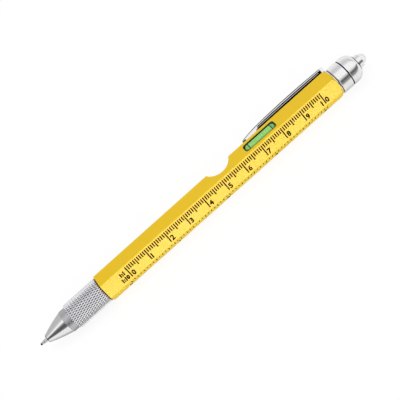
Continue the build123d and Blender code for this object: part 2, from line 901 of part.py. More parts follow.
cells = []
for number in range(cell_count):
    cell_start = contact_end + cell_gap + number * (cell_thickness + cell_gap)
    with BuildPart() as cell:
        with BuildSketch(cross_plane(cell_start)):
            Circle(cell_radius)
        extrude(amount=cell_thickness)
        chamfer(cell.edges().filter_by(GeomType.CIRCLE), length=cell_can_edge)
    cell.part.label = f"battery_{number + 1}"
    cells.append(cell.part)

# Turning half of the head: straight wall, long round shoulder, hole for the lens ring
cap_start = flange_end + head_groove_width
cap_shoulder = cap_start + cap_side_length
cap_end = cap_shoulder + cap_shoulder_length
cap_end_radius = head_radius - cap_shoulder_drop
board_start = neck_end + flange_gap
board_end = board_start + board_thickness
lens_seat_radius = lens_shank_radius + press_gap
with BuildPart() as lamp_cap:
    with BuildSketch(turning_plane):
        with BuildLine():
            shoulder = EllipticalCenterArc(
                (cap_shoulder, cap_end_radius),
                cap_shoulder_length,
                cap_shoulder_drop,
                arc_size=90,
            )
            Polyline(
                shoulder @ 0,
                (cap_end, lens_seat_radius),
                (board_end, lens_seat_radius),
                (board_end, cap_bore_radius),
                (cap_start, cap_bore_radius),
                (cap_start, head_radius - head_edge_chamfer),
                (cap_start + head_edge_chamfer, head_radius),
                shoulder @ 1,
            )
        make_face()
    revolve(axis=pen_axis)
lamp_cap.part.label = "lamp_cap"

led_board = tube("led_board", board_start, board_end, board_radius)

# Lamp: flange, round body and domed end
led_flange_end = board_end + led_flange_thickness
led_dome_start = board_end + led_length - led_radius
with BuildPart() as led:
    with BuildSketch(turning_plane):
        with BuildLine():
            dome = RadiusArc(
                (led_dome_start, led_radius), (led_dome_start + led_radius, 0), led_radius
            )
            Polyline(
                dome @ 1,
                (board_end, 0),
                (board_end, led_flange_radius),
                (led_flange_end, led_flange_radius),
                (led_flange_end, led_radius),
                dome @ 0,
            )
        make_face()
    revolve(axis=pen_axis)
led.part.label = "led"

# Rubber gasket that seals the lens ring on the cap, the black line round its foot
gasket_end = cap_end + lens_gasket_thickness
lens_gasket = tube("lens_gasket", cap_end, gasket_end, lens_gasket_radius, lens_seat_radius)

# Lens ring: shank in the cap, flange on the gasket and upright ring
lens_flange_end = gasket_end + lens_flange_thickness
lens_ring_end = lens_flange_end + lens_ring_length
with BuildPart() as lens_ring:
    with BuildSketch(turning_plane):
        with BuildLine():
            Polyline(
                (cap_end - lens_shank_length, lens_ring_bore),
                (cap_end - lens_shank_length, lens_shank_radius),
                (gasket_end, lens_shank_radius),
                (gasket_end, lens_flange_radius),
                (lens_flange_end, lens_flange_radius),
                (lens_flange_end, lens_ring_radius),
                (lens_ring_end, lens_ring_radius),
                (lens_ring_end, lens_ring_bore),
                close=True,
            )
        make_face()
    revolve(axis=pen_axis)
lens_ring.part.label = "lens_ring"

# Translucent dome over the lamp, hollow, with a shank in the lens ring
dome_shank_radius = lens_ring_bore - press_gap
dome_bore_radius = dome_shank_radius - dome_wall
dome_shoulder = lens_ring_end + dome_height - dome_radius
with BuildPart() as dome_lens:
    with BuildSketch(turning_plane):
        with BuildLine():
            outer = RadiusArc(
                (dome_shoulder, dome_radius), (lens_ring_end + dome_height, 0), dome_radius
            )
            inner = RadiusArc(
                (led_dome_start, dome_bore_radius),
                (led_dome_start + dome_bore_radius, 0),
                dome_bore_radius,
            )
            Line(outer @ 1, inner @ 1)
            Polyline(
                inner @ 0,
                (cap_end, dome_bore_radius),
                (cap_end, dome_shank_radius),
                (lens_ring_end, dome_shank_radius),
                (lens_ring_end, dome_radius),
                outer @ 0,
            )
        make_face()
    revolve(axis=pen_axis)
dome_lens.part.label = "dome_lens"

turned_pieces = [
    lower_bush,
    thrust_washer,
    refill_guide,
    refill_tube,
    ink,
    bit_magnet,
    spigot_o_ring,
    cap_o_ring,
    battery_sleeve,
    led_board,
    lens_gasket,
]
built_pieces = [
    barrel,
    grip_sleeve,
    grip_collar,
    nose_cone,
    drive_tube,
    tube_circlip,
    cam_sleeve,
    refill_carrier,
    follower_pin,
    refill_tip,
    writing_ball,
    level_vial,
    vial_plug,
    level_bubble,
    level_liquid,
    level_rings,
    clip_arm,
    clip_root,
    bit_holder,
    driver_bit,
    head_base,
    battery_contact,
    lamp_cap,
    led,
    lens_ring,
    dome_lens,
]
os.makedirs("parts", exist_ok=True)
for piece in turned_pieces + cells + [built.part for built in built_pieces]:
    export_step(piece, f"parts/{piece.label}.step")
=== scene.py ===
from math import cos, pi, radians, sin

import bmesh
import bpy
import numpy as np
from mathutils import Matrix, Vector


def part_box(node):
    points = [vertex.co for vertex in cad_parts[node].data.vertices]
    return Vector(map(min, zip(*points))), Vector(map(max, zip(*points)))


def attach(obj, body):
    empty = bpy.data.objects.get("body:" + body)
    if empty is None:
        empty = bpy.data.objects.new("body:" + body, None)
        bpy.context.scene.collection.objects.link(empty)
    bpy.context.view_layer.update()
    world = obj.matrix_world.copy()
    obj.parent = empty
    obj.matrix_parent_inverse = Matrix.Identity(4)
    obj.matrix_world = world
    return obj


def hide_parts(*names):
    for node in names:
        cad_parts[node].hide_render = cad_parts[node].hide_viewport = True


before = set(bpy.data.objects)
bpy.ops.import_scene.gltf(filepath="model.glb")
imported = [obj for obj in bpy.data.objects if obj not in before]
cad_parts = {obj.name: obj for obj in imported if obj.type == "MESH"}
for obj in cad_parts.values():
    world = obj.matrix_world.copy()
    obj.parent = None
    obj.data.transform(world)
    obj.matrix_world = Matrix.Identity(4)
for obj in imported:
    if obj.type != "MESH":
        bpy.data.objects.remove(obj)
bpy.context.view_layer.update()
print("frame loaded:", len(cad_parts), "nodes")

# Sizes are millimetres in the pen's own frame: X runs from the ball to the lamp and +Z is up.
# addMesh turns them into metres. Angles round the pen are counted in degrees from +Y towards +Z.
mm = 0.001


# Lowest and highest corner of a node of the frame, in millimetres
def span(node):
    low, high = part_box(node)
    return np.array(low) / mm, np.array(high) / mm


barrelLow, barrelHigh = span("barrel")
axisHeight = (barrelLow[2] + barrelHigh[2]) / 2
flatDistance = axisHeight  # the barrel lies on one of its flats
halfFace, quarterTurn, halfTurn = 30, 90, 180  # degrees; half a face is from its middle to its corner
cornerDistance = flatDistance / cos(radians(halfFace))
faceAngles = {"clip": 30, "ruler": 150, "inch": 210}
alongPen = np.array([1.0, 0.0, 0.0])
penAxis = np.array([0.0, 0.0, axisHeight])


# Unit vector square to the pen at an angle round it
def outward(angle):
    return np.array([0.0, cos(radians(angle)), sin(radians(angle))])


# Camera: it stands at the photograph's angle over the ruler face, rolled so that the pen climbs
# to the right
camera = {
    "target": (-9.4, 0.566, 6.129),
    "distance": 350.0,
    "elevation": 46.94,
    "yaw": 0.5,
    "roll": 41.79,
    "focalLength": 80.74,
    "sensorWidth": 36.0,
    "nearest": 10.0,
}


def makeCamera(values):
    elevation, yaw, roll = (radians(values[key]) for key in ("elevation", "yaw", "roll"))
    level = np.array([0.0, -cos(elevation), sin(elevation)])
    upright = np.array([0.0, sin(elevation), cos(elevation)])
    back = cos(yaw) * level - sin(yaw) * alongPen
    side = cos(yaw) * alongPen + sin(yaw) * level
    pose = np.eye(4)
    pose[:3, 0] = cos(roll) * side - sin(roll) * upright
    pose[:3, 1] = sin(roll) * side + cos(roll) * upright
    pose[:3, 2] = back
    pose[:3, 3] = (np.array(values["target"]) + values["distance"] * back) * mm
    lens = bpy.data.cameras.new("camera")
    lens.sensor_width = values["sensorWidth"]
    lens.lens = values["focalLength"]
    lens.clip_start = values["nearest"] * mm
    holder = bpy.data.objects.new("camera", lens)
    bpy.context.scene.collection.objects.link(holder)
    holder.matrix_world = Matrix(pose.tolist())
    bpy.context.scene.camera = holder


makeCamera(camera)
print("camera placed")


def grey(value):
    return (value, value, value, 1.0)


# A colour of three parts made lighter or darker, with the fourth that sockets ask for
def shade(colour, factor=1.0):
    return tuple(channel * factor for channel in colour) + (1.0,)


# Links a socket to another, or writes a plain value on it
def feed(tree, socket, value):
    if isinstance(value, bpy.types.NodeSocket):
        tree.links.new(value, socket)
    else:
        socket.default_value = value


def mathNode(tree, operation, *values, clamp=False):
    node = tree.nodes.new("ShaderNodeMath")
    node.operation = operation
    node.use_clamp = clamp
    for socket, value in zip(node.inputs, values):
        feed(tree, socket, value)
    return node.outputs["Value"]


# Smooth step from 0 at low to 1 at high
def stepNode(tree, value, low, high):
    node = tree.nodes.new("ShaderNodeMapRange")
    node.interpolation_type = "SMOOTHSTEP"
    for label, entry in (("Value", value), ("From Min", low), ("From Max", high)):
        feed(tree, node.inputs[label], entry)
    return node.outputs["Result"]


def mixColours(tree, factor, first, second):
    node = tree.nodes.new("ShaderNodeMix")
    node.data_type = "RGBA"
    feed(tree, node.inputs["Factor"], factor)
    colourInputs = [socket for socket in node.inputs if socket.type == "RGBA"]
    feed(tree, colourInputs[0], first)
    feed(tree, colourInputs[1], second)
    return next(socket for socket in node.outputs if socket.type == "RGBA")


def newGroup(name, inputs, outputs):
    tree = bpy.data.node_groups.new(name, "ShaderNodeTree")
    for label, value in inputs:
        socket = tree.interface.new_socket(label, in_out="INPUT", socket_type="NodeSocketFloat")
        socket.default_value = value
    for label in outputs:
        tree.interface.new_socket(label, in_out="OUTPUT", socket_type="NodeSocketFloat")
    return tree, tree.nodes.new("NodeGroupInput"), tree.nodes.new("NodeGroupOutput")


def splitVector(tree, vector):
    split = tree.nodes.new("ShaderNodeSeparateXYZ")
    feed(tree, split.inputs[0], vector)
    return split.outputs


# Object coordinates in millimetres
def millimetreVector(tree):
    place = tree.nodes.new("ShaderNodeTexCoord")
    enlarge = tree.nodes.new("ShaderNodeVectorMath")
    enlarge.operation = "SCALE"
    feed(tree, enlarge.inputs[0], place.outputs["Object"])
    enlarge.inputs["Scale"].default_value = 1 / mm
    return enlarge.outputs["Vector"]


def millimetreParts(tree):
    return splitVector(tree, millimetreVector(tree))


# Detail of the noises, and the part of their range that becomes tone
noise = {"fineDetail": 2.0, "slowDetail": 3.0, "ringDetail": 4.0, "toneLow": 0.3, "toneHigh": 0.7}


def noiseNode(tree, vector, scale, detail):
    node = tree.nodes.new("ShaderNodeTexNoise")
    feed(tree, node.inputs["Vector"], vector)
    feed(tree, node.inputs["Scale"], scale)
    node.inputs["Detail"].default_value = detail
    return node.outputs["Fac"]


def toneNode(tree, value):
    return stepNode(tree, value, noise["toneLow"], noise["toneHigh"])


# Grain group: fine noise for the bump and a slow one for tone and smears, both in copies per millimetre
def makeGrainGroup():
    tree, start, end = newGroup(
        "surface_grain", (("Fine per mm", 6.0), ("Slow per mm", 0.15)), ("Height", "Tone")
    )
    vector = millimetreVector(tree)
    fine = noiseNode(tree, vector, start.outputs["Fine per mm"], noise["fineDetail"])
    slow = noiseNode(tree, vector, start.outputs["Slow per mm"], noise["slowDetail"])
    feed(tree, end.inputs["Height"], fine)
    feed(tree, end.inputs["Tone"], toneNode(tree, slow))
    return tree


# Lathe group: rings square to the pen, from a noise that changes along X alone
def makeLatheGroup():
    tree, start, end = newGroup("lathe_rings", (("Rings per mm", 5.0),), ("Height", "Tone"))
    node = tree.nodes.new("ShaderNodeTexNoise")
    node.noise_dimensions = "1D"
    feed(tree, node.inputs["W"], millimetreParts(tree)["X"])
    feed(tree, node.inputs["Scale"], start.outputs["Rings per mm"])
    node.inputs["Detail"].default_value = noise["ringDetail"]
    feed(tree, end.inputs["Height"], node.outputs["Fac"])
    feed(tree, end.inputs["Tone"], toneNode(tree, node.outputs["Fac"]))
    return tree


# Depth group: 0 at one distance from the pen's axis and 1 at the other
def makeDepthGroup():
    inputs = (("Inner mm", 5.0), ("Outer mm", 6.0))
    tree, start, end = newGroup("depth_from_axis", inputs, ("Mask",))
    parts = millimetreParts(tree)
    height = mathNode(tree, "SUBTRACT", parts["Z"], axisHeight)
    heightSquare = mathNode(tree, "MULTIPLY", height, height)
    acrossSquare = mathNode(tree, "MULTIPLY", parts["Y"], parts["Y"])
    distance = mathNode(tree, "SQRT", mathNode(tree, "ADD", heightSquare, acrossSquare))
    mask = stepNode(tree, distance, start.outputs["Inner mm"], start.outputs["Outer mm"])
    feed(tree, end.inputs["Mask"], mask)
    return tree


# Window group: 1 near the middle line of the level's window, 0 past the outer distance and below the
# axis. Distance = (past the straight length ^ power + across ^ power) ^ (1 / power), which squares the ends
windowRim = {"power": 4.0, "fadeHeight": 1.0}


def makeWindowGroup(values):
    tree, start, end = newGroup("window_rim", (("Inner mm", 1.0), ("Outer mm", 2.0)), ("Mask",))
    parts = millimetreParts(tree)
    low, high = span("level_vial")
    high = np.maximum(high, span("vial_plug")[1])
    straight = (high[0] - low[0]) / 2 - (high[1] - low[1]) / 2
    fromMiddle = mathNode(tree, "SUBTRACT", parts["X"], (low[0] + high[0]) / 2)
    along = mathNode(tree, "SUBTRACT", mathNode(tree, "ABSOLUTE", fromMiddle), straight)
    past = mathNode(tree, "MAXIMUM", along, 0.0)
    across = mathNode(tree, "ABSOLUTE", parts["Y"])
    powers = [mathNode(tree, "POWER", part, values["power"]) for part in (past, across)]
    distance = mathNode(tree, "POWER", mathNode(tree, "ADD", *powers), 1 / values["power"])
    beyond = stepNode(tree, distance, start.outputs["Inner mm"], start.outputs["Outer mm"])
    above = stepNode(tree, parts["Z"], axisHeight, axisHeight + values["fadeHeight"])
    inside = mathNode(tree, "SUBTRACT", 1.0, beyond)
    feed(tree, end.inputs["Mask"], mathNode(tree, "MULTIPLY", inside, above))
    return tree


# Band group: 1 between two places along the pen, 0 outside them
def makeBandGroup():
    tree, start, end = newGroup("band_along_pen", (("Low mm", 0.0), ("High mm", 1.0)), ("Mask",))
    parts = millimetreParts(tree)
    above = mathNode(tree, "GREATER_THAN", parts["X"], start.outputs["Low mm"])
    below = mathNode(tree, "LESS_THAN", parts["X"], start.outputs["High mm"])
    feed(tree, end.inputs["Mask"], mathNode(tree, "MULTIPLY", above, below))
    return tree


effects = {
    "grain": makeGrainGroup(),
    "lathe": makeLatheGroup(),
    "depth": makeDepthGroup(),
    "window": makeWindowGroup(windowRim),
    "band": makeBandGroup(),
}


def addEffect(tree, kind, **values):
    node = tree.nodes.new("ShaderNodeGroup")
    node.node_tree = effects[kind]
    for label, value in values.items():
        node.inputs[label.replace("_", " ")].default_value = value
    return node.outputs


def newMaterial(name, settings):
    material = bpy.data.materials.new(name)
    material.use_nodes = True
    shader = material.node_tree.nodes["Principled BSDF"]
    for label, value in settings.items():
        shader.inputs[label].default_value = value
    return material, material.node_tree, shader


def addBump(tree, shader, height, distance):
    bump = tree.nodes.new("ShaderNodeBump")
    bump.inputs["Distance"].default_value = distance * mm
    bump.inputs["Strength"].default_value = 1.0
    feed(tree, bump.inputs["Height"], height)
    feed(tree, shader.inputs["Normal"], bump.outputs["Normal"])


# Roughness = low + spread * tone
def smearRoughness(tree, shader, tone, low, spread):
    feed(tree, shader.inputs["Roughness"], mathNode(tree, "MULTIPLY_ADD", tone, spread, low))


# A finish with grain: two tones of one colour in slow smears, fine bump and a roughness that follows
# the smears
def grainFinish(
    name, colour, roughness, spread=0.08, fine=6.0, slow=0.15, bump=0.004, roughSpread=0.06, **settings
):
    material, tree, shader = newMaterial(name, settings)
    grain = addEffect(tree, "grain", Fine_per_mm=fine, Slow_per_mm=slow)
    tones = mixColours(tree, grain["Tone"], shade(colour, 1 - spread), shade(colour, 1 + spread / 2))
    feed(tree, shader.inputs["Base Color"], tones)
    smearRoughness(tree, shader, grain["Tone"], roughness - roughSpread / 2, roughSpread)
    addBump(tree, shader, grain["Height"], bump)
    return material


# A turned metal: rings from the tool in tone, roughness and bump
def latheFinish(
    name, colour, roughness, rings=5.0, spread=0.1, bump=0.002, roughSpread=0.08, **settings
):
    material, tree, shader = newMaterial(name, {"Metallic": 1.0, **settings})
    lathe = addEffect(tree, "lathe", Rings_per_mm=rings)
    tones = mixColours(tree, lathe["Tone"], shade(colour, 1 - spread), shade(colour))
    feed(tree, shader.inputs["Base Color"], tones)
    smearRoughness(tree, shader, lathe["Tone"], roughness - roughSpread / 2, roughSpread)
    addBump(tree, shader, lathe["Height"], bump)
    return material


# Yellow lacquer: satin, with a painted highlight that makes it paler along the barrel's edges, painted
# bounce light that makes the faces below the axis a little paler and yellower, and painted shadow dark in
# the rim of the level's window
lacquer = {
    "colour": (0.87, 0.56, 0.004),
    "edgeHighlightColour": (0.93, 0.66, 0.03),
    "edgeHighlightShare": 0.5,
    "edgeInner": 6.25,
    "edgeOuter": 6.42,
    "underBounceColour": (0.90, 0.64, 0.006),
    "underDepth": 0.2,
    "fine": 3.0,
    "slow": 0.05,
    "toneDrop": 0.015,
    "bump": 0.006,
    "roughness": 0.34,
    "smear": 0.05,
    "shine": 0.35,
    "rimShadeColour": (0.05, 0.045, 0.01),
    "rimInner": 1.93,
    "rimOuter": 1.99,
}


def makeLacquer(values):
    material, tree, shader = newMaterial("yellow_lacquer", {"Specular IOR Level": values["shine"]})
    grain = addEffect(tree, "grain", Fine_per_mm=values["fine"], Slow_per_mm=values["slow"])
    edge = addEffect(tree, "depth", Inner_mm=values["edgeInner"], Outer_mm=values["edgeOuter"])
    rim = addEffect(tree, "window", Inner_mm=values["rimInner"], Outer_mm=values["rimOuter"])
    # Painted bounce light: the faces below the axis take a paler, yellower colour, as if lit from the floor
    under = stepNode(tree, millimetreParts(tree)["Z"], axisHeight, axisHeight - values["underDepth"])
    paint = mixColours(tree, under, shade(values["colour"]), shade(values["underBounceColour"]))
    drop = mathNode(tree, "MULTIPLY", grain["Tone"], values["toneDrop"])
    body = mixColours(tree, drop, paint, grey(0.0))
    # Painted highlight: a paler colour near the corners, where the rounded edges would catch the light
    highlightShare = mathNode(tree, "MULTIPLY", edge["Mask"], values["edgeHighlightShare"])
    highlighted = mixColours(tree, highlightShare, body, shade(values["edgeHighlightColour"]))
    # Painted shadow: the rim round the level's window is dark, as the gap round the vial would be
    rimShaded = mixColours(tree, rim["Mask"], highlighted, shade(values["rimShadeColour"]))
    feed(tree, shader.inputs["Base Color"], rimShaded)
    smearRoughness(tree, shader, grain["Tone"], values["roughness"], values["smear"])
    addBump(tree, shader, grain["Height"], values["bump"])
    return material


# Reads the mask that addMesh keeps on a piece
def maskNode(tree):
    mask = tree.nodes.new("ShaderNodeAttribute")
    mask.attribute_name = "mask"
    return mask.outputs["Fac"]


# Knurled metal: bright faces, and painted shade where two grooves cross, told by the mesh's own mask
knurlMetal = {
    "bright": (0.97, 0.96, 0.99),
    "paintedShade": (0.03, 0.03, 0.035),
    "metallic": 0.72,
    "fine": 12.0,
    "slow": 0.4,
    "bump": 0.003,
    "roughness": 0.26,
    "smear": 0.1,
}


def makeKnurlMetal(values):
    material, tree, shader = newMaterial("knurled_steel", {"Metallic": values["metallic"]})
    grain = addEffect(tree, "grain", Fine_per_mm=values["fine"], Slow_per_mm=values["slow"])
    tones = mixColours(tree, maskNode(tree), shade(values["bright"]), shade(values["paintedShade"]))
    feed(tree, shader.inputs["Base Color"], tones)
    smearRoughness(tree, shader, grain["Tone"], values["roughness"], values["smear"])
    addBump(tree, shader, grain["Height"], values["bump"])
    return material


# Clip chrome: polished, with black as painted shade and dark reflection in the two grooves of each side,
# painted dark reflection along the shoulders and painted shadow at the spoon's end, told by the mesh's own
# mask
clipFinish = {
    "chrome": (0.86, 0.86, 0.88),
    "black": (0.003, 0.003, 0.004),
    "shine": 0.02,
    "fine": 2.0,
    "slow": 0.1,
    "bump": 0.002,
    "roughness": 0.12,
    "smear": 0.05,
    "shadeBlackRoughness": 0.35,
}


def makeClipChrome(values):
    material, tree, shader = newMaterial("clip_chrome", {"Specular IOR Level": values["shine"]})
    grain = addEffect(tree, "grain", Fine_per_mm=values["fine"], Slow_per_mm=values["slow"])
    mask = maskNode(tree)
    tones = mixColours(tree, mask, shade(values["chrome"]), shade(values["black"]))
    feed(tree, shader.inputs["Base Color"], tones)
    feed(tree, shader.inputs["Metallic"], mathNode(tree, "SUBTRACT", 1.0, mask))
    smear = mathNode(tree, "MULTIPLY_ADD", grain["Tone"], values["smear"], values["roughness"])
    smearRoughness(tree, shader, mask, smear, values["shadeBlackRoughness"])
    addBump(tree, shader, grain["Height"], values["bump"])
    return material


# Vial: clear green, with painted shade at its curved rim, where the rim would bend the view into the dark
# barrel
vial = {
    "colour": (0.42, 0.92, 0.26),
    "rim": (0.03, 0.20, 0.03),
    "rimInner": 1.3,
    "rimOuter": 1.85,
    "transmission": 0.4,
    "ior": 1.49,
    "fine": 6.0,
    "slow": 0.25,
    "roughness": 0.06,
    "smear": 0.02,
}


def makeVialFinish(values):
    settings = {"Transmission Weight": values["transmission"], "IOR": values["ior"]}
    material, tree, shader = newMaterial("clear_acrylic", settings)
    grain = addEffect(tree, "grain", Fine_per_mm=values["fine"], Slow_per_mm=values["slow"])
    inside = addEffect(tree, "window", Inner_mm=values["rimInner"], Outer_mm=values["rimOuter"])
    # The rim colour is painted shade
    tones = mixColours(tree, inside["Mask"], shade(values["rim"]), shade(values["colour"]))
    feed(tree, shader.inputs["Base Color"], tones)
    smearRoughness(tree, shader, grain["Tone"], values["roughness"], values["smear"])
    return material


# Colours a band round a finished metal, between two places along the pen
def addBand(material, colour, low, high):
    tree = material.node_tree
    shader = tree.nodes["Principled BSDF"]
    metal = shader.inputs["Base Color"].links[0].from_socket
    band = addEffect(tree, "band", Low_mm=low, High_mm=high)
    feed(tree, shader.inputs["Base Color"], mixColours(tree, band["Mask"], metal, shade(colour)))


# Chrome of the head and cone: turned, with a painted shade line where the head's fixed half meets the
# turning one, and a darker rim at the mouth of the cone
headChrome = {
    "colour": (0.95, 0.95, 0.96),
    "roughness": 0.13,
    "rings": 3.5,
    "spread": 0.1,
    "bump": 0.0015,
    "paintedShade": (0.04, 0.04, 0.045),
    "lineWidth": 0.42,
    "halfGap": 0.1,
    "mouthColour": (0.22, 0.22, 0.23),
    "mouthWidth": 0.3,
}


def makeHeadChrome(values):
    look = {key: values[key] for key in ("colour", "roughness", "rings", "spread", "bump")}
    material = latheFinish("polished_chrome", **look)
    middle = span("lamp_cap")[0][0] - values["halfGap"]
    half = values["lineWidth"] / 2
    # Painted shade in the gap between the head's fixed and turning halves
    addBand(material, values["paintedShade"], middle - half, middle + half)
    front = span("nose_cone")[0][0]
    addBand(material, values["mouthColour"], front, front + values["mouthWidth"])
    return material


# Nickel of the nib: turned, stained by ink round the ball
nib = {
    "colour": (0.82, 0.82, 0.81),
    "roughness": 0.36,
    "rings": 6.0,
    "ink": (0.04, 0.04, 0.05),
    "inkFrom": -1.0,
    "inkLength": 0.45,
}


def makeNibMetal(values):
    look = {key: values[key] for key in ("colour", "roughness", "rings")}
    material = latheFinish("nickel_silver", **look)
    front = span("refill_tip")[0][0]
    addBand(material, values["ink"], front + values["inkFrom"], front + values["inkLength"])
    return material


finishes = {
    "yellow_paint": makeLacquer(lacquer),
    "knurled_metal": makeKnurlMetal(knurlMetal),
    "clip_chrome": makeClipChrome(clipFinish),
    "brushed_collar": latheFinish(
        "brushed_collar", (0.68, 0.67, 0.69), 0.36, rings=7.0, spread=0.3, bump=0.006
    ),
    "polished_chrome": makeHeadChrome(headChrome),
    "nickel_silver": makeNibMetal(nib),
    "bearing_brass": latheFinish("bearing_brass", (0.78, 0.55, 0.22), 0.3, rings=4.0),
    "spring_steel": grainFinish("spring_steel", (0.52, 0.52, 0.54), 0.3, Metallic=1.0),
    "blackened_steel": grainFinish("blackened_steel", (0.03, 0.03, 0.032), 0.45, Metallic=1.0),
    "ball_carbide": grainFinish("ball_carbide", (0.10, 0.10, 0.11), 0.2, Metallic=1.0, fine=20.0),
    "cell_steel": latheFinish("cell_steel", (0.72, 0.72, 0.70), 0.22, rings=3.0),
    "dark_magnet": grainFinish("dark_magnet", (0.09, 0.09, 0.10), 0.45, Metallic=0.6),
    "black_nylon": grainFinish("black_nylon", (0.012, 0.012, 0.013), 0.5),
    "black_rubber": grainFinish("black_rubber", (0.010, 0.010, 0.010), 0.7, fine=10.0),
    "dark_ring": grainFinish("dark_ring", (0.005, 0.02, 0.008), 0.4),
    "black_ink": grainFinish(
        "black_ink", (0.014, 0.012, 0.006), 0.5, fine=9.0, bump=0.001, **{"Specular IOR Level": 0.06}
    ),
    "white_plastic": grainFinish("white_plastic", (0.80, 0.80, 0.78), 0.4),
    "board_laminate": grainFinish("board_laminate", (0.02, 0.16, 0.06), 0.45),
    "lamp_epoxy": grainFinish("lamp_epoxy", (0.93, 0.94, 0.92), 0.1, **{"Transmission Weight": 0.8}),
    "clear_acrylic": makeVialFinish(vial),
    "green_liquid": grainFinish(
        "green_liquid", (0.30, 0.85, 0.28), 0.05, spread=0.04, slow=0.3, bump=0.0002, roughSpread=0.02,
        **{"Transmission Weight": 0.3, "IOR": 1.38},
    ),
    "air_bubble": grainFinish(
        "air_bubble", (0.90, 0.98, 0.90), 0.03, spread=0.01, bump=0.0002, roughSpread=0.02,
        **{"Transmission Weight": 1.0, "IOR": 1.05},
    ),
    "milky_dome": grainFinish(
        "milky_dome", (0.97, 0.97, 0.98), 0.2, spread=0.02, bump=0.001,
        **{"Transmission Weight": 0.15, "IOR": 1.45},
    ),
}
greenPlug = grainFinish("green_plug", (0.16, 0.52, 0.16), 0.4)  # the plug is the green end of the vial

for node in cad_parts.values():
    slotName = node.material_slots[0].material.name.split(".")[0]
    node.material_slots[0].material = finishes[slotName]
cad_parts["vial_plug"].material_slots[0].material = greenPlug
print("finishes made:", len(finishes))


# Smooth step from 0 at low to 1 at high: share squared times (3 - 2 * share)
def smoothStep(value, low, high):
    share = np.clip((value - low) / (high - low), 0, 1)
    return share * share * (3 - 2 * share)


# Quads between the rows of a grid, row by row; the columns close on themselves, and so do the rows if asked
def gridFaces(rows, columns, closeRows=False):
    row = np.arange(rows if closeRows else rows - 1)[:, None]
    column = np.arange(columns)[None, :]
    nextRow = (row + 1) % rows
    nextColumn = (column + 1) % columns
    places = ((row, column), (row, nextColumn), (nextRow, nextColumn), (nextRow, column))
    corners = [np.broadcast_to(down * columns + over, (len(row), columns)) for down, over in places]
    return np.stack(corners, -1).reshape(-1, 4)


# Millimetres: points nearer than the first are merged, edges shorter than the second are dissolved
merging = {"points": 0.0001, "edges": 0.00005}


# Makes one piece from points in millimetres: doubles merged, normals out, and smooth but for edges
# past the angle
def addMesh(name, points, polygons, slotName, body, smoothAngle, mask=None):
    mesh = bpy.data.meshes.new(name)
    places = (np.asarray(points).reshape(-1, 3) * mm).tolist()
    mesh.from_pydata(places, [], [list(polygon) for polygon in polygons])
    if mask is not None:
        attribute = mesh.attributes.new("mask", "FLOAT", "POINT")
        attribute.data.foreach_set("value", np.asarray(mask, dtype=np.float32).ravel())
    work = bmesh.new()
    work.from_mesh(mesh)
    bmesh.ops.remove_doubles(work, verts=work.verts, dist=merging["points"] * mm)
    bmesh.ops.dissolve_degenerate(work, edges=work.edges, dist=merging["edges"] * mm)
    bmesh.ops.recalc_face_normals(work, faces=work.faces)
    work.to_mesh(mesh)
    work.free()
    mesh.shade_smooth()
    mesh.set_sharp_from_angle(angle=radians(smoothAngle))
    mesh.materials.append(finishes[slotName])
    piece = bpy.data.objects.new(name, mesh)
    bpy.context.scene.collection.objects.link(piece)
    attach(piece, body)
    return piece


# Knurled grip: a diamond knurl cut by two families of V grooves that wind opposite ways. Radius = peak -
# height * (2 * distance to the nearest crest line, of the family where that is greater, less the worn
# share), cut back to the end chamfers. Each quad is split along the groove it lies in, and the stepped
# bore closes the ring
knurl = {
    "starts": 37,
    "axialPitch": 2.46,
    "height": 0.42,
    "wornShare": 0.125,
    "samples": 8,
    "shadeFrom": 0.5,
    "shadeTo": 0.8,
    "shadeAtEnd": 0.2,
    "chamfer": 0.35,
    "frontBore": 3.82,
    "backBore": 3.02,
    "boreStep": 3.3,
    "smoothAngle": 20.0,
}


def fromWhole(value):
    return np.abs(value - np.round(value))


def makeKnurledGrip(values):
    low, high = span("grip_sleeve")
    start, end, peak = low[0], high[0], (high[2] - low[2]) / 2
    samples = values["samples"]
    columns = values["starts"] * samples
    rows = int(round((end - start) / values["axialPitch"] * samples))
    winding = (np.arange(columns) / samples)[None, :]
    climb = (np.arange(rows + 1) / samples)[:, None]
    first, second = fromWhole(winding + climb), fromWhole(winding - climb)
    worn = values["wornShare"]
    depth = np.maximum(2 * np.maximum(first, second) - worn, 0) / (1 - worn)
    along = start + (end - start) * np.arange(rows + 1)[:, None] / rows
    endLimit = peak - values["chamfer"] + np.minimum(along - start, end - along)
    radius = np.minimum(peak - values["height"] * depth, endLimit)
    # Painted shade: dark where two grooves cross
    paintedShade = smoothStep(first + second, values["shadeFrom"], values["shadeTo"])
    # Painted shade at the end that meets the barrel
    paintedShade = np.maximum(paintedShade, smoothStep(along, end - values["shadeAtEnd"], end))
    step, front, back = start + values["boreStep"], values["frontBore"], values["backBore"]
    bore = np.array([(end, back), (step, back), (step, front), (start, front)])
    along = np.vstack([np.broadcast_to(along, radius.shape), np.repeat(bore[:, :1], columns, 1)])
    radius = np.vstack([radius, np.repeat(bore[:, 1:], columns, 1)])
    paintedShade = np.vstack([paintedShade, np.zeros((len(bore), columns))])
    angle = np.broadcast_to(2 * pi * winding / values["starts"], radius.shape)
    points = np.stack([along, radius * np.cos(angle), axisHeight + radius * np.sin(angle)], -1)
    quads = gridFaces(len(radius), columns, closeRows=True)
    knurled, plain = quads[: rows * columns], quads[rows * columns :]
    # In the middle of a quad winding and climb add up to one sample more, and differ by as much as before
    rising = fromWhole(winding + climb[:-1] + 1 / samples) > fromWhole(winding - climb[:-1])
    rising = rising.reshape(-1, 1)
    halves = [
        np.where(rising, knurled[:, [0, 1, 3]], knurled[:, [0, 1, 2]]),
        np.where(rising, knurled[:, [1, 2, 3]], knurled[:, [0, 2, 3]]),
    ]
    faces = np.concatenate(halves).tolist() + plain.tolist()
    grip = addMesh(
        "knurled_grip", points, faces, "knurled_metal", "grip", values["smoothAngle"], mask=paintedShade
    )
    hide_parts("grip_sleeve")


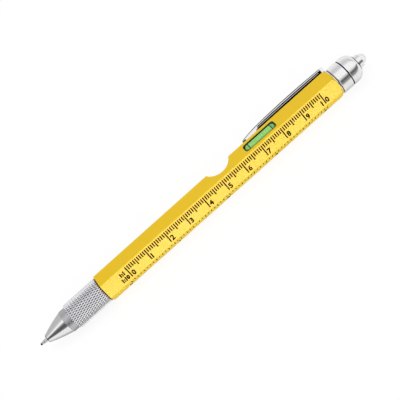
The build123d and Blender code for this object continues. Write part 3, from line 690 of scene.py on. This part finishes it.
makeKnurledGrip(knurl)
print("knurled grip made")

# Corner curves: points in each, the most of a side that one may take, and the shortest side that counts
cornerCurve = {"steps": 4, "mostOfSide": 0.49, "shortest": 1e-9}


# Rounds each corner of a closed outline: points (..., corners, 2), one length a corner. The corner
# becomes the quadratic curve from its one side to its other through weights (1-t)^2, 2t(1-t), t^2
def roundCorners(outline, lengths):
    def reach(side):
        size = np.maximum(np.linalg.norm(side, axis=-1, keepdims=True), cornerCurve["shortest"])
        return side * np.minimum(np.asarray(lengths)[:, None] / size, cornerCurve["mostOfSide"])

    first = outline + reach(np.roll(outline, 1, axis=-2) - outline)
    last = outline + reach(np.roll(outline, -1, axis=-2) - outline)
    shares = np.linspace(0, 1, cornerCurve["steps"])
    curves = [(1 - t) ** 2 * first + 2 * t * (1 - t) * outline + t**2 * last for t in shares]
    return np.stack(curves, -2).reshape(*outline.shape[:-2], -1, 2)


# Pocket clip: a section carried along the clip. Top line = a parabola through root, bow and neck, then
# another from the neck, with its slope, to the tip, and a quarter ellipse over the nose. The section is a
# channel whose top edges slope off, with a painted dark reflection as a line on the slope. Its sides have
# two grooves painted black as shade and dark reflection, and a rib between, which end in a slanted cut, and
# the spoon's end is dark low down with painted shadow
clip = {
    "rootHeight": 2.3,
    "bowHeight": 2.68,
    "bowFromEnd": 19.4,
    "neckHeight": 2.3,
    "neckFromEnd": 33.0,
    "tipHeight": 1.5,
    "noseHeight": 0.75,
    "noseLength": 0.35,
    "footLength": 0.7,
    "footHeight": 0.05,
    "flangeGap": 0.3,
    "halfWidth": 2.0,
    "tipHalfWidth": 1.35,
    "sheet": 0.6,
    "wall": 0.5,
    "channelShare": 0.5,
    "roofRun": 1.5,
    "shoulderWidth": 0.55,
    "shoulderShare": 0.25,
    "ridgeShare": 0.6,
    "crownShare": 0.12,
    "lineShare": 0.88,
    "lineDarkReflection": 1.0,
    "lineCorners": (1, 2),
    "tipShadow": 1.9,
    "tipShadowFull": 0.6,
    "tipCorners": (5, 10),
    "grooveDepth": 0.2,
    "grooveLip": 0.03,
    "grooveShares": (0.61, 0.4, 0.33),
    "ribLeft": 0.2,
    "ribFade": 0.15,
    "ribBlackFrom": 0.3,
    "cutSlope": 1.15,
    "cutFromEnd": 34.1,
    "cutBlend": 0.12,
    "blackEnd": 1.1,
    "rowSpacing": 0.2,
    "rowDecimals": 4,
    "noseRows": 9,
    "cutRows": 50,
    "cutReach": (-0.3, 2.4),
    "roundings": {
        "top": 0.3, "edge": 0.12, "line": 0.05, "groove": 0.04, "foot": 0.05, "roof": 0.25, "seam": 0.1,
    },
    "smoothAngle": 35.0,
}


def makeClip(values):
    low, high = span("clip_arm")
    tip, end = low[0], high[0]
    halfWidth, wall, depth, lip = (values[key] for key in ("halfWidth", "wall", "grooveDepth", "grooveLip"))
    neck, bow, cutStart = (end - values[key] for key in ("neckFromEnd", "bowFromEnd", "cutFromEnd"))
    even = np.arange(tip, end, values["rowSpacing"])
    noseRows = tip + values["footLength"] * (1 - np.cos(np.linspace(0, pi / 2, values["noseRows"])))
    cutRows = np.linspace(*(cutStart + reach for reach in values["cutReach"]), values["cutRows"])
    x = np.unique(np.round(np.concatenate([even, noseRows, cutRows, [end]]), values["rowDecimals"]))
    bowHeights = [values[key] for key in ("rootHeight", "bowHeight", "neckHeight")]
    bowCurve = np.polyfit([end, bow, neck], bowHeights, 2)
    slope = np.polyval(np.polyder(bowCurve), neck)
    tipStart = tip + values["noseLength"]
    spoon = tipStart - neck
    bend = (values["tipHeight"] - values["neckHeight"] - slope * spoon) / spoon**2
    spoonTop = values["neckHeight"] + slope * (x - neck) + bend * (x - neck) ** 2
    top = np.where(x >= neck, np.polyval(bowCurve, x), spoonTop)
    noseShare = np.clip((tipStart - x) / values["noseLength"], 0, 1)
    noseRise = values["tipHeight"] - values["noseHeight"]
    top = np.where(x < tipStart, values["noseHeight"] + noseRise * np.sqrt(1 - noseShare**2), top)
    footEnd = tip + values["footLength"]
    footShare = np.clip((footEnd - x) / values["footLength"], 0, 1)
    footDrop = values["noseHeight"] - values["footHeight"]
    footCurve = values["noseHeight"] - footDrop * np.sqrt(1 - footShare**2)
    gap = values["flangeGap"]
    underside = np.interp(x, [footEnd, neck, end], [values["footHeight"], gap, gap])
    bottom = np.where(x < footEnd, footCurve, underside)
    tipRadius = values["tipHalfWidth"]
    roundShare = np.clip((tip + tipRadius - x) / tipRadius, 0, 1)
    width = np.interp(x, [tip + tipRadius, neck], [tipRadius, halfWidth])
    width = np.where(x < tip + tipRadius, tipRadius * np.sqrt(1 - roundShare**2), width)
    hollow = smoothStep(x, neck, neck + values["roofRun"])
    roof = bottom + (top - values["sheet"] - bottom) * hollow
    side = np.maximum(width - wall, width * values["channelShare"])
    tall = top - bottom

    def level(share):
        return bottom + tall * share

    def grooved(share):
        cut = cutStart + values["cutSlope"] * (level(share) - gap)
        return depth * smoothStep(x, cut, cut + values["cutBlend"])

    upperTop, upperEnd, lowerTop = values["grooveShares"]
    ribStart = end - values["blackEnd"]
    ribDrop = smoothStep(x, ribStart - values["ribFade"], ribStart)
    ribDrop = values["ribLeft"] + (1 - values["ribLeft"]) * ribDrop
    shoulder = tall * values["shoulderShare"]
    ridge = np.maximum(width - values["shoulderWidth"], width * values["ridgeShare"])
    line, crown = values["lineShare"], values["crownShare"]
    lineEnd = ridge + (width - ridge) * line
    # Half of the section, from the middle of the top round to the middle of the roof: how far across, how
    # high, which rounding and how black
    half = [
        (width * 0.0, top, "top", 0),
        (ridge, top - shoulder * crown, "edge", 0),
        (lineEnd, top - shoulder * (crown + (1 - crown) * line), "line", 0),
        (width, top - shoulder, "edge", 0),
        (width, level(upperTop), "groove", 0),
        (width - grooved(upperTop), level(upperTop) - lip, "groove", 1),
        (width - grooved(upperEnd), level(upperEnd) + lip, "groove", 1),
        (width - grooved(upperEnd) * ribDrop, level(upperEnd), "groove", ribDrop),
        (width - grooved(lowerTop) * ribDrop, level(lowerTop), "groove", ribDrop),
        (width - grooved(lowerTop), level(lowerTop) - lip, "groove", 1),
        (width - grooved(0.0), bottom, "foot", 1),
        (side, bottom, "foot", 0),
        (side, roof, "roof", 0),
        (side * 0.0, roof, "seam", 0),
    ]
    mirrored = half[-2:0:-1]
    right = [np.stack([across, height], -1) for across, height, _, _ in half]
    left = [np.stack([-across, height], -1) for across, height, _, _ in mirrored]
    lengths = [values["roundings"][entry[2]] for entry in half + mirrored]
    ring = roundCorners(np.stack(right + left, -2), lengths)
    across, height = ring[..., 0], ring[..., 1]
    # The painted mask: black in the grooves as painted shade and dark reflection, with the rib grey between
    painted = np.stack([np.broadcast_to(entry[3], x.shape) for entry in half + mirrored], -1)
    painted = np.where(painted < 1, smoothStep(painted, values["ribBlackFrom"], 1.0), painted)
    cut = cutStart + values["cutSlope"] * (height - gap)
    mask = np.repeat(painted, cornerCurve["steps"], -1)
    mask = mask * smoothStep(x[:, None], cut, cut + values["cutBlend"])
    columns = ring.shape[1]
    corner = np.arange(columns) // cornerCurve["steps"]

    def onBothSides(firstCorner, lastCorner):
        chosen = np.arange(firstCorner, lastCorner + 1)
        return np.isin(corner, np.concatenate([chosen, len(lengths) - chosen]))

    # Painted dark reflection: a black line on each shoulder
    mask = np.maximum(mask, values["lineDarkReflection"] * onBothSides(*values["lineCorners"]))
    shadow = values["tipShadow"]
    nearTip = smoothStep(x, tip + shadow, tip + shadow * values["tipShadowFull"])
    mask = np.maximum(mask, nearTip[:, None] * onBothSides(*values["tipCorners"]))
    out = outward(faceAngles["clip"])
    sideways = np.cross(alongPen, out)
    points = penAxis + x[:, None, None] * alongPen
    points = points + (flatDistance + height[..., None]) * out + across[..., None] * sideways
    faces = gridFaces(len(x), columns).tolist()
    faces.append(list(range(columns)))
    faces.append([(len(x) - 1) * columns + k for k in range(columns)])
    piece = addMesh("clip_strap", points, faces, "clip_chrome", "clip", values["smoothAngle"], mask=mask)
    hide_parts("clip_arm")


makeClip(clip)
print("clip made")

# Ruler and inch scale: printed marks as thin closed prisms on the two faces, digits from Blender's own font
printing = {"above": 0.015, "below": 0.01, "digitWeight": 0.045, "curveSteps": 3, "smoothAngle": 20.0}
ruler = {
    "zero": 11.95,
    "edgeGap": 0.65,
    "millimetres": 100,
    "longEvery": 10,
    "middleEvery": 5,
    "tickWidth": 0.51,
    "short": 1.9,
    "middle": 2.8,
    "long": 4.95,
    "digitHeight": 2.3,
    "digitTop": 3.4,
    "digitShift": 0.68,
    "tensShift": -1.7,
    "unitsShift": 0.42,
    "scales": ("1:1", "1:10"),
    "scaleShift": -2.55,
    "scaleHeight": 1.85,
    "scaleTops": (1.3, 3.65),
    "scaleWeight": 0.08,
}
inches = {
    "zero": 10.2,
    "edgeGap": 0.93,
    "inch": 25.4,
    "count": 4,
    "divisions": 16,
    "longEvery": 4,
    "middleEvery": 2,
    "tickWidth": 0.36,
    "short": 1.85,
    "middle": 2.5,
    "long": 3.3,
    "digitHeight": 2.0,
    "digitTop": 4.0,
    "digitShift": -1.15,
}


# Place on a face: the corner of the hexagon over it, the way down the face and the way out of it
def faceFrame(face):
    angle = faceAngles[face]
    corner = penAxis + cornerDistance * outward(angle - halfFace)
    return corner, outward(angle + quarterTurn), outward(angle)


# Points on a face from stations along X, distances down from its upper edge and heights above it
def onFace(face, station, down, height):
    corner, downward, out = faceFrame(face)
    return (
        corner
        + np.asarray(station)[..., None] * alongPen
        + np.asarray(down)[..., None] * downward
        + np.asarray(height)[..., None] * out
    )


boxFaces = np.array([(0, 1, 3, 2), (4, 6, 7, 5), (0, 4, 5, 1), (2, 3, 7, 6), (0, 2, 6, 4), (1, 5, 7, 3)])


# Ticks as boxes: eight corners each, from the middle station, the start and the length down the face
def tickBoxes(face, values, stations, count):
    middles = np.where(count % values["middleEvery"] == 0, values["middle"], values["short"])
    lengths = np.where(count % values["longEvery"] == 0, values["long"], middles)
    unit = np.array([(a, b, c) for a in (-0.5, 0.5) for b in (0, 1) for c in (0, 1)])
    station = stations[:, None] + unit[:, 0] * values["tickWidth"]
    down = values["edgeGap"] + lengths[:, None] * unit[:, 1]
    height = np.where(unit[:, 2] > 0, printing["above"], -printing["below"]) + 0 * station
    points = onFace(face, station, down, height).reshape(-1, 3)
    faces = (boxFaces[None] + 8 * np.arange(len(stations))[:, None, None]).reshape(-1, 4)
    return points, faces.tolist()


# A row of digits as a closed mesh of unit height, flat in its own X and Y, with its two faces at Z -1 and 1
def digitShape(text, weight):
    curve = bpy.data.curves.new("digits", "FONT")
    curve.body = text
    curve.extrude = 1.0
    curve.offset = weight
    curve.resolution_u = printing["curveSteps"]
    holder = bpy.data.objects.new("digits", curve)
    bpy.context.scene.collection.objects.link(holder)
    mesh = bpy.data.meshes.new_from_object(holder)
    places = np.zeros(len(mesh.vertices) * 3)
    mesh.vertices.foreach_get("co", places)
    places = places.reshape(-1, 3)
    polygons = [list(polygon.vertices) for polygon in mesh.polygons]
    bpy.data.objects.remove(holder)
    bpy.data.curves.remove(curve)
    bpy.data.meshes.remove(mesh)
    low, high = places.min(0), places.max(0)
    tall = high[1] - low[1]
    flat = (places - [low[0], low[1], 0]) / [tall, tall, 1]
    return flat, polygons, (high[0] - low[0]) / tall


# Digits on a face: left edge or middle at the station, top at the distance down
def placeDigits(face, text, station, top, tall, centred=False, weight=printing["digitWeight"]):
    flat, polygons, wide = digitShape(text, weight)
    shift = wide / 2 if centred else 0
    along = station + (flat[:, 0] - shift) * tall
    down = top + (1 - flat[:, 1]) * tall
    height = np.where(flat[:, 2] > 0, printing["above"], -printing["below"])
    return onFace(face, along, down, height), polygons


# Joins ticks and digits into one printed piece on the barrel
def addMarks(name, parts):
    points, faces, count = [], [], 0
    for partPoints, partFaces in parts:
        points.append(partPoints)
        faces += [[index + count for index in face] for face in partFaces]
        count += len(partPoints)
    addMesh(name, np.concatenate(points), faces, "black_ink", "body", printing["smoothAngle"])


def makeRuler(values):
    count = np.arange(values["millimetres"] + 1)
    zero = barrelLow[0] + values["zero"]
    parts = [tickBoxes("ruler", values, zero + count, count)]
    step = values["longEvery"]
    last = values["millimetres"] // step
    digits = [(str(number), step * number + values["digitShift"]) for number in range(last)]
    digits += [("1", step * last + values["tensShift"]), ("0", step * last + values["unitsShift"])]
    for text, shift in digits:
        parts.append(placeDigits("ruler", text, zero + shift, values["digitTop"], values["digitHeight"]))
    station, tall, weight = zero + values["scaleShift"], values["scaleHeight"], values["scaleWeight"]
    for text, top in zip(values["scales"], values["scaleTops"]):
        parts.append(placeDigits("ruler", text, station, top, tall, centred=True, weight=weight))
    addMarks("ruler_marks", parts)


def makeInchScale(values):
    count = np.arange(values["count"] * values["divisions"] + 1)
    zero = barrelLow[0] + values["zero"]
    parts = [tickBoxes("inch", values, zero + count * (values["inch"] / values["divisions"]), count)]
    top, tall = values["digitTop"], values["digitHeight"]
    for number in range(values["count"] + 1):
        station = zero + number * values["inch"] + values["digitShift"]
        parts.append(placeDigits("inch", str(number), station, top, tall, centred=True))
    addMarks("inch_marks", parts)


makeRuler(ruler)
makeInchScale(inches)
print("scales printed")

# Studio: a pale floor that looks white where nothing shades it, soft lamps, and a sky that only metal sees.
# Metal sees the floor as it is lit, but with a painted dark reflection in front of the head and a painted
# shadow under the cone
studio = {
    "floorHeight": -0.26,
    "floorSize": 4000.0,
    "floorColour": 0.88,
    "seenShare": 0.13,
    "seenGlow": 0.885,
    "mirrorGlow": 0.08,
    "frontNear": 12.0,
    "frontFar": 60.0,
    "frontReflectionShade": 0.3,
    "headStart": 50.0,
    "headFull": 72.0,
    "noseStart": -72.0,
    "noseFull": -78.0,
    "underFrom": 9.0,
    "underTo": 4.0,
    "underReflectionShadow": 0.6,
    "skyForColour": 0.5,
}
lamps = {
    "key": {"place": (-60.0, -650.0, 200.0), "size": 500.0, "power": 2.0},
    "top": {"place": (0.0, 60.0, 900.0), "size": 700.0, "power": 2.75},
    "back": {"place": (150.0, 650.0, 350.0), "size": 500.0, "power": 0.6},
}


# 1 for the rays of the camera and those that come to it through glass
def seenNode(tree, path):
    rays = (path.outputs["Is Camera Ray"], path.outputs["Is Transmission Ray"])
    return mathNode(tree, "ADD", *rays, clamp=True)


# A flat sheet of the studio through four corners in millimetres
def addSheet(name, corners, material):
    mesh = bpy.data.meshes.new(name)
    mesh.from_pydata((np.array(corners) * mm).tolist(), [], [(0, 1, 2, 3)])
    mesh.materials.append(material)
    sheet = bpy.data.objects.new(name, mesh)
    bpy.context.scene.collection.objects.link(sheet)
    return sheet


# Floor: its glow and its share of the light by who looks: the camera, metal or the light itself
def makeFloor(values):
    material, tree, shader = newMaterial("pale_floor", {"Roughness": 1.0, "Specular IOR Level": 0.0})
    path = tree.nodes.new("ShaderNodeLightPath")
    parts = millimetreParts(tree)
    inFront = mathNode(tree, "MULTIPLY", parts["Y"], -1.0)
    farOff = stepNode(tree, inFront, values["frontNear"], values["frontFar"])
    byHead = stepNode(tree, parts["X"], values["headStart"], values["headFull"])
    frontFade = mathNode(tree, "MULTIPLY", farOff, byHead)
    closeBy = stepNode(tree, inFront, values["underFrom"], values["underTo"])
    byNose = stepNode(tree, parts["X"], values["noseStart"], values["noseFull"])
    noseFade = mathNode(tree, "MULTIPLY", closeBy, byNose)
    plain = grey(values["floorColour"])
    # Painted dark reflection: metal sees the floor darker in front of the head
    mirrored = mixColours(tree, frontFade, plain, grey(values["floorColour"] * values["frontReflectionShade"]))
    # Painted shadow: metal sees the floor darker close under the cone
    mirrored = mixColours(tree, noseFade, mirrored, grey(values["floorColour"] * values["underReflectionShadow"]))
    base = mixColours(tree, path.outputs["Is Glossy Ray"], plain, mirrored)
    seen = seenNode(tree, path)
    feed(tree, shader.inputs["Base Color"], mixColours(tree, seen, base, grey(values["seenShare"])))
    shader.inputs["Emission Color"].default_value = grey(1.0)
    glowShare = mathNode(tree, "MULTIPLY_ADD", frontFade, values["frontReflectionShade"] - 1.0, 1.0)
    inMetal = mathNode(tree, "MULTIPLY", path.outputs["Is Glossy Ray"], glowShare)
    glow = mathNode(tree, "MULTIPLY", seen, values["seenGlow"])
    glow = mathNode(tree, "MULTIPLY_ADD", inMetal, values["mirrorGlow"], glow)
    feed(tree, shader.inputs["Emission Strength"], glow)
    half, height = values["floorSize"] / 2, values["floorHeight"]
    ends = ((-half, -half), (half, -half), (half, half), (-half, half))
    floor = addSheet("floor", [(*end, height) for end in ends], material)


# Softbox that the barrel alone mirrors: it lays the pale sheen on the ruler face, and what lies behind it
# shows through
softbox = {"low": (-130.0, -66.0, -2.0), "high": (140.0, -66.0, 30.0), "strength": 7.5}


def makeSoftbox(values):
    material, tree, shader = newMaterial("softbox_glow", {})
    tree.nodes.remove(shader)
    glow = tree.nodes.new("ShaderNodeEmission")
    glow.inputs["Strength"].default_value = values["strength"]
    both = tree.nodes.new("ShaderNodeAddShader")
    feed(tree, both.inputs[0], glow.outputs["Emission"])
    feed(tree, both.inputs[1], tree.nodes.new("ShaderNodeBsdfTransparent").outputs["BSDF"])
    feed(tree, tree.nodes["Material Output"].inputs["Surface"], both.outputs["Shader"])
    low, high = values["low"], values["high"]
    corners = [low, (low[0], low[1], high[2]), high, (high[0], low[1], low[2])]
    box = addSheet("softbox", corners, material)
    box.visible_camera = False
    box.visible_diffuse = False
    box.visible_transmission = False
    box.visible_shadow = False
    mirrors = bpy.data.collections.new("softbox_mirrors")
    mirrors.objects.link(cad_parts["barrel"])
    box.light_linking.receiver_collection = mirrors


# A square lamp that points at the pen, with one side square to Y, or to X where it shines along Y
def makeLamp(name, values, almostAlong=0.9):
    light = bpy.data.lights.new(name, "AREA")
    light.size = values["size"] * mm
    light.energy = values["power"]
    holder = bpy.data.objects.new(name, light)
    bpy.context.scene.collection.objects.link(holder)
    back = np.array(values["place"]) - penAxis
    back = back / np.linalg.norm(back)
    side = np.cross([0.0, 1.0, 0.0] if abs(back[1]) < almostAlong else [1.0, 0.0, 0.0], back)
    side = side / np.linalg.norm(side)
    pose = np.eye(4)
    pose[:3, 0], pose[:3, 1], pose[:3, 2] = side, np.cross(back, side), back
    pose[:3, 3] = np.array(values["place"]) * mm
    holder.matrix_world = Matrix(pose.tolist())
    holder.visible_camera = False
    holder.visible_glossy = False


# Stops of a grey ramp by the angle over the front horizon, in degrees, and the grey there: for the sides of
# the pen, and for the cone, whose mirrored view leans towards the tip
sky = {
    "side": (
        (0, 0.3), (5, 0.18), (14, 0.1), (20, 0.14), (34, 0.7), (46, 0.98), (76, 1.0), (90, 0.96),
        (104, 0.72), (120, 0.64), (145, 0.78), (162, 0.9), (180, 0.95),
    ),
    "nose": (
        (0, 0.5), (4, 0.3), (13, 0.14), (25, 0.09), (42, 0.1), (53, 0.2), (64, 0.45), (75, 1.0),
        (85, 1.0), (99, 0.62), (116, 0.52), (180, 0.52),
    ),
    "noseStart": 0.16,
    "noseEnd": 0.26,
}


def greyRamp(tree, value, stops):
    node = tree.nodes.new("ShaderNodeValToRGB")
    elements = node.color_ramp.elements
    for angle, tone in stops[1:-1]:
        elements.new(angle / halfTurn).color = grey(tone)
    elements[0].color = grey(stops[0][1])
    elements[-1].color = grey(stops[-1][1])
    feed(tree, node.inputs["Fac"], value)
    return node.outputs["Color"]


def makeSky(values):
    world = bpy.data.worlds.new("studio")
    bpy.context.scene.world = world
    world.use_nodes = True
    tree = world.node_tree
    background = tree.nodes["Background"]
    parts = splitVector(tree, tree.nodes.new("ShaderNodeTexCoord").outputs["Generated"])
    inFront = mathNode(tree, "MULTIPLY", parts["Y"], -1.0)
    angle = mathNode(tree, "DIVIDE", mathNode(tree, "ARCTAN2", parts["Z"], inFront), pi)
    side = greyRamp(tree, angle, values["side"])
    nose = greyRamp(tree, angle, values["nose"])
    towardsTip = mathNode(tree, "MULTIPLY", parts["X"], -1.0)
    leaning = stepNode(tree, towardsTip, values["noseStart"], values["noseEnd"])
    mirrored = mixColours(tree, leaning, side, nose)
    path = tree.nodes.new("ShaderNodeLightPath")
    plain = grey(studio["skyForColour"])
    unseen = mixColours(tree, path.outputs["Is Glossy Ray"], plain, mirrored)
    feed(tree, background.inputs["Color"], mixColours(tree, seenNode(tree, path), unseen, grey(1.0)))
    background.inputs["Strength"].default_value = 1.0


makeFloor(studio)
makeSoftbox(softbox)
for lampName, lampValues in lamps.items():
    makeLamp(lampName, lampValues)
makeSky(sky)
bpy.context.scene.view_settings.view_transform = "Standard"
print("studio lit")

print("pen dressed")
